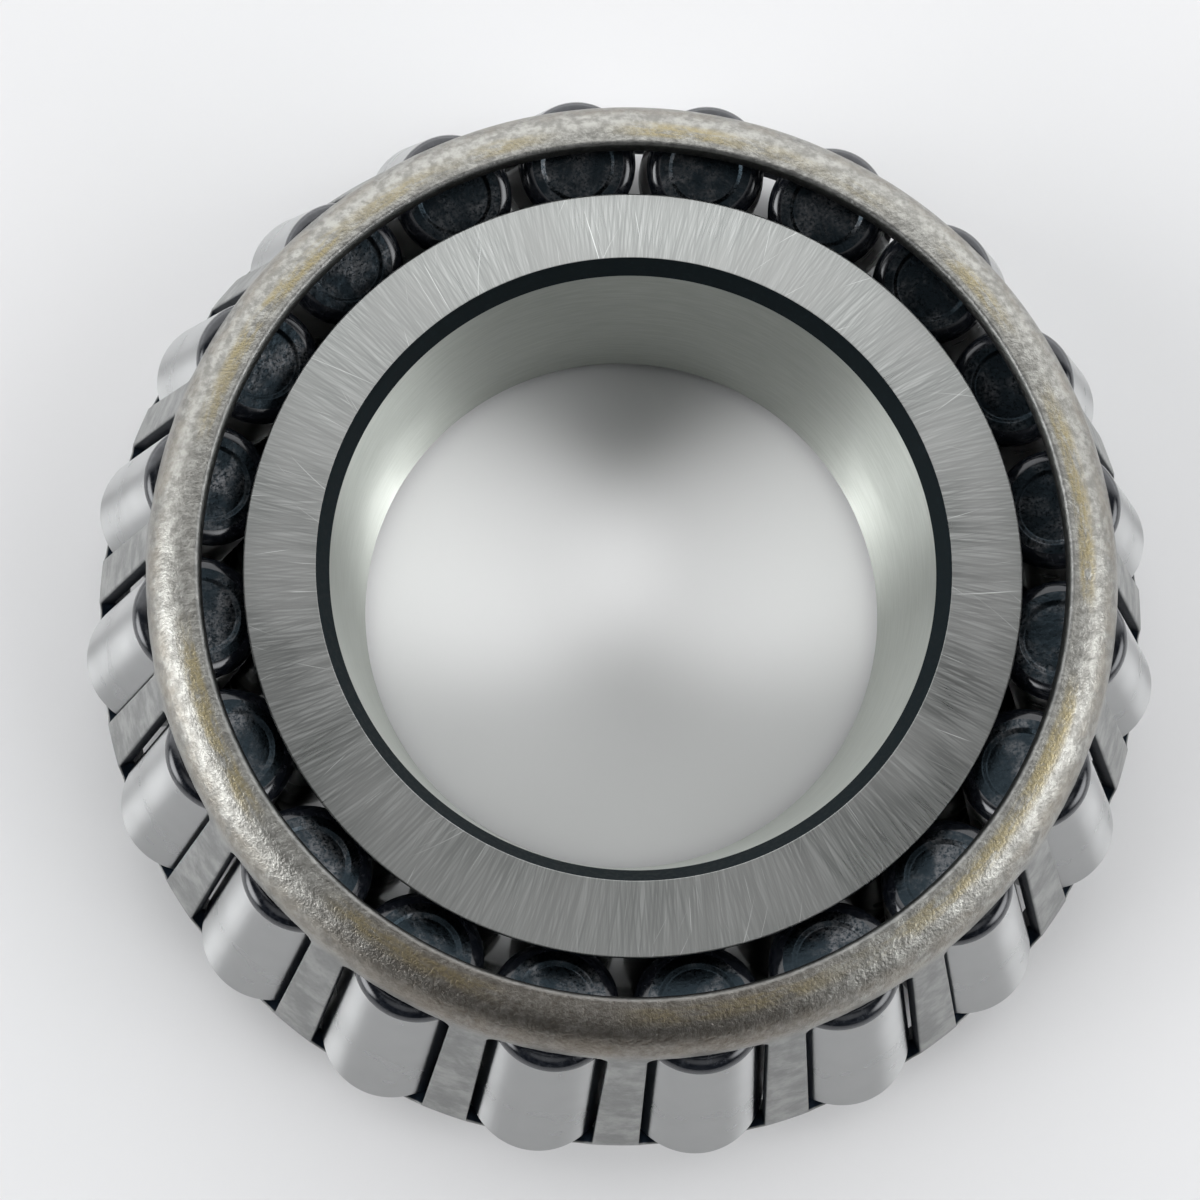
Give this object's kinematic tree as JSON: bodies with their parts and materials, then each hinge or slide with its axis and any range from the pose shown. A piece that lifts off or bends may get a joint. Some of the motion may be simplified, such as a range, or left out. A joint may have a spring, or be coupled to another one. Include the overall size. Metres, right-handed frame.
{
  "type": "tapered roller bearing cone assembly",
  "caption": "Tapered roller bearing cone assembly: inner ring with two ribs, pressed window cage and a full set of steep tapered rollers.",
  "frame": {"origin": "centre of the inner ring's back face, on the bearing axis", "axes": "+Z along the bearing axis, from the large rib at the back face to the small rib at the front face; +X through roller_01"},
  "size_m": [0.139, 0.139, 0.04],
  "materials": {
    "ring_steel": "hardened bearing steel, ground faces and bore, dark unground chamfers",
    "cage_steel": "pressed and pickled sheet steel, matte bars, lightly stained rim",
    "roller_steel": "hardened bearing steel, fine ground body, dark tumbled small ends"
  },
  "bodies": {
    "inner_ring": {"inner_ring": "ring_steel"},
    "cage": {"cage": "cage_steel"},
    "roller_01": {"roller_01": "roller_steel"},
    "roller_02": {"roller_02": "roller_steel"},
    "roller_03": {"roller_03": "roller_steel"},
    "roller_04": {"roller_04": "roller_steel"},
    "roller_05": {"roller_05": "roller_steel"},
    "roller_06": {"roller_06": "roller_steel"},
    "roller_07": {"roller_07": "roller_steel"},
    "roller_08": {"roller_08": "roller_steel"},
    "roller_09": {"roller_09": "roller_steel"},
    "roller_10": {"roller_10": "roller_steel"},
    "roller_11": {"roller_11": "roller_steel"},
    "roller_12": {"roller_12": "roller_steel"},
    "roller_13": {"roller_13": "roller_steel"},
    "roller_14": {"roller_14": "roller_steel"},
    "roller_15": {"roller_15": "roller_steel"},
    "roller_16": {"roller_16": "roller_steel"},
    "roller_17": {"roller_17": "roller_steel"},
    "roller_18": {"roller_18": "roller_steel"},
    "roller_19": {"roller_19": "roller_steel"},
    "roller_20": {"roller_20": "roller_steel"}
  },
  "joints": [
    {"name": "cage_spin", "type": "hinge", "parent": "inner_ring", "child": "cage", "pos_m": [0, 0, 0], "axis": [0, 0, 1], "continuous": true},
    {"name": "roller_01_spin", "type": "hinge", "parent": "cage", "child": "roller_01", "pos_m": [0.05573, 0, 0.01991], "axis": [-0.4274, 0, 0.9041], "continuous": true},
    {"name": "roller_02_spin", "type": "hinge", "parent": "cage", "child": "roller_02", "pos_m": [0.053, 0.01722, 0.01991], "axis": [-0.4064, -0.1321, 0.9041], "continuous": true},
    {"name": "roller_03_spin", "type": "hinge", "parent": "cage", "child": "roller_03", "pos_m": [0.04508, 0.03276, 0.01991], "axis": [-0.3457, -0.2512, 0.9041], "continuous": true},
    {"name": "roller_04_spin", "type": "hinge", "parent": "cage", "child": "roller_04", "pos_m": [0.03276, 0.04508, 0.01991], "axis": [-0.2512, -0.3457, 0.9041], "continuous": true},
    {"name": "roller_05_spin", "type": "hinge", "parent": "cage", "child": "roller_05", "pos_m": [0.01722, 0.053, 0.01991], "axis": [-0.1321, -0.4064, 0.9041], "continuous": true},
    {"name": "roller_06_spin", "type": "hinge", "parent": "cage", "child": "roller_06", "pos_m": [0, 0.05573, 0.01991], "axis": [0, -0.4274, 0.9041], "continuous": true},
    {"name": "roller_07_spin", "type": "hinge", "parent": "cage", "child": "roller_07", "pos_m": [-0.01722, 0.053, 0.01991], "axis": [0.1321, -0.4064, 0.9041], "continuous": true},
    {"name": "roller_08_spin", "type": "hinge", "parent": "cage", "child": "roller_08", "pos_m": [-0.03276, 0.04508, 0.01991], "axis": [0.2512, -0.3457, 0.9041], "continuous": true},
    {"name": "roller_09_spin", "type": "hinge", "parent": "cage", "child": "roller_09", "pos_m": [-0.04508, 0.03276, 0.01991], "axis": [0.3457, -0.2512, 0.9041], "continuous": true},
    {"name": "roller_10_spin", "type": "hinge", "parent": "cage", "child": "roller_10", "pos_m": [-0.053, 0.01722, 0.01991], "axis": [0.4064, -0.1321, 0.9041], "continuous": true},
    {"name": "roller_11_spin", "type": "hinge", "parent": "cage", "child": "roller_11", "pos_m": [-0.05573, 0, 0.01991], "axis": [0.4274, 0, 0.9041], "continuous": true},
    {"name": "roller_12_spin", "type": "hinge", "parent": "cage", "child": "roller_12", "pos_m": [-0.053, -0.01722, 0.01991], "axis": [0.4064, 0.1321, 0.9041], "continuous": true},
    {"name": "roller_13_spin", "type": "hinge", "parent": "cage", "child": "roller_13", "pos_m": [-0.04508, -0.03276, 0.01991], "axis": [0.3457, 0.2512, 0.9041], "continuous": true},
    {"name": "roller_14_spin", "type": "hinge", "parent": "cage", "child": "roller_14", "pos_m": [-0.03276, -0.04508, 0.01991], "axis": [0.2512, 0.3457, 0.9041], "continuous": true},
    {"name": "roller_15_spin", "type": "hinge", "parent": "cage", "child": "roller_15", "pos_m": [-0.01722, -0.053, 0.01991], "axis": [0.1321, 0.4064, 0.9041], "continuous": true},
    {"name": "roller_16_spin", "type": "hinge", "parent": "cage", "child": "roller_16", "pos_m": [0, -0.05573, 0.01991], "axis": [0, 0.4274, 0.9041], "continuous": true},
    {"name": "roller_17_spin", "type": "hinge", "parent": "cage", "child": "roller_17", "pos_m": [0.01722, -0.053, 0.01991], "axis": [-0.1321, 0.4064, 0.9041], "continuous": true},
    {"name": "roller_18_spin", "type": "hinge", "parent": "cage", "child": "roller_18", "pos_m": [0.03276, -0.04508, 0.01991], "axis": [-0.2512, 0.3457, 0.9041], "continuous": true},
    {"name": "roller_19_spin", "type": "hinge", "parent": "cage", "child": "roller_19", "pos_m": [0.04508, -0.03276, 0.01991], "axis": [-0.3457, 0.2512, 0.9041], "continuous": true},
    {"name": "roller_20_spin", "type": "hinge", "parent": "cage", "child": "roller_20", "pos_m": [0.053, -0.01722, 0.01991], "axis": [-0.4064, 0.1321, 0.9041], "continuous": true}
  ],
  "couplings": [
    {"joint": "roller_01_spin", "follows": "cage_spin", "ratio": 6.0832},
    {"joint": "roller_02_spin", "follows": "cage_spin", "ratio": 6.0832},
    {"joint": "roller_03_spin", "follows": "cage_spin", "ratio": 6.0832},
    {"joint": "roller_04_spin", "follows": "cage_spin", "ratio": 6.0832},
    {"joint": "roller_05_spin", "follows": "cage_spin", "ratio": 6.0832},
    {"joint": "roller_06_spin", "follows": "cage_spin", "ratio": 6.0832},
    {"joint": "roller_07_spin", "follows": "cage_spin", "ratio": 6.0832},
    {"joint": "roller_08_spin", "follows": "cage_spin", "ratio": 6.0832},
    {"joint": "roller_09_spin", "follows": "cage_spin", "ratio": 6.0832},
    {"joint": "roller_10_spin", "follows": "cage_spin", "ratio": 6.0832},
    {"joint": "roller_11_spin", "follows": "cage_spin", "ratio": 6.0832},
    {"joint": "roller_12_spin", "follows": "cage_spin", "ratio": 6.0832},
    {"joint": "roller_13_spin", "follows": "cage_spin", "ratio": 6.0832},
    {"joint": "roller_14_spin", "follows": "cage_spin", "ratio": 6.0832},
    {"joint": "roller_15_spin", "follows": "cage_spin", "ratio": 6.0832},
    {"joint": "roller_16_spin", "follows": "cage_spin", "ratio": 6.0832},
    {"joint": "roller_17_spin", "follows": "cage_spin", "ratio": 6.0832},
    {"joint": "roller_18_spin", "follows": "cage_spin", "ratio": 6.0832},
    {"joint": "roller_19_spin", "follows": "cage_spin", "ratio": 6.0832},
    {"joint": "roller_20_spin", "follows": "cage_spin", "ratio": 6.0832}
  ]
}
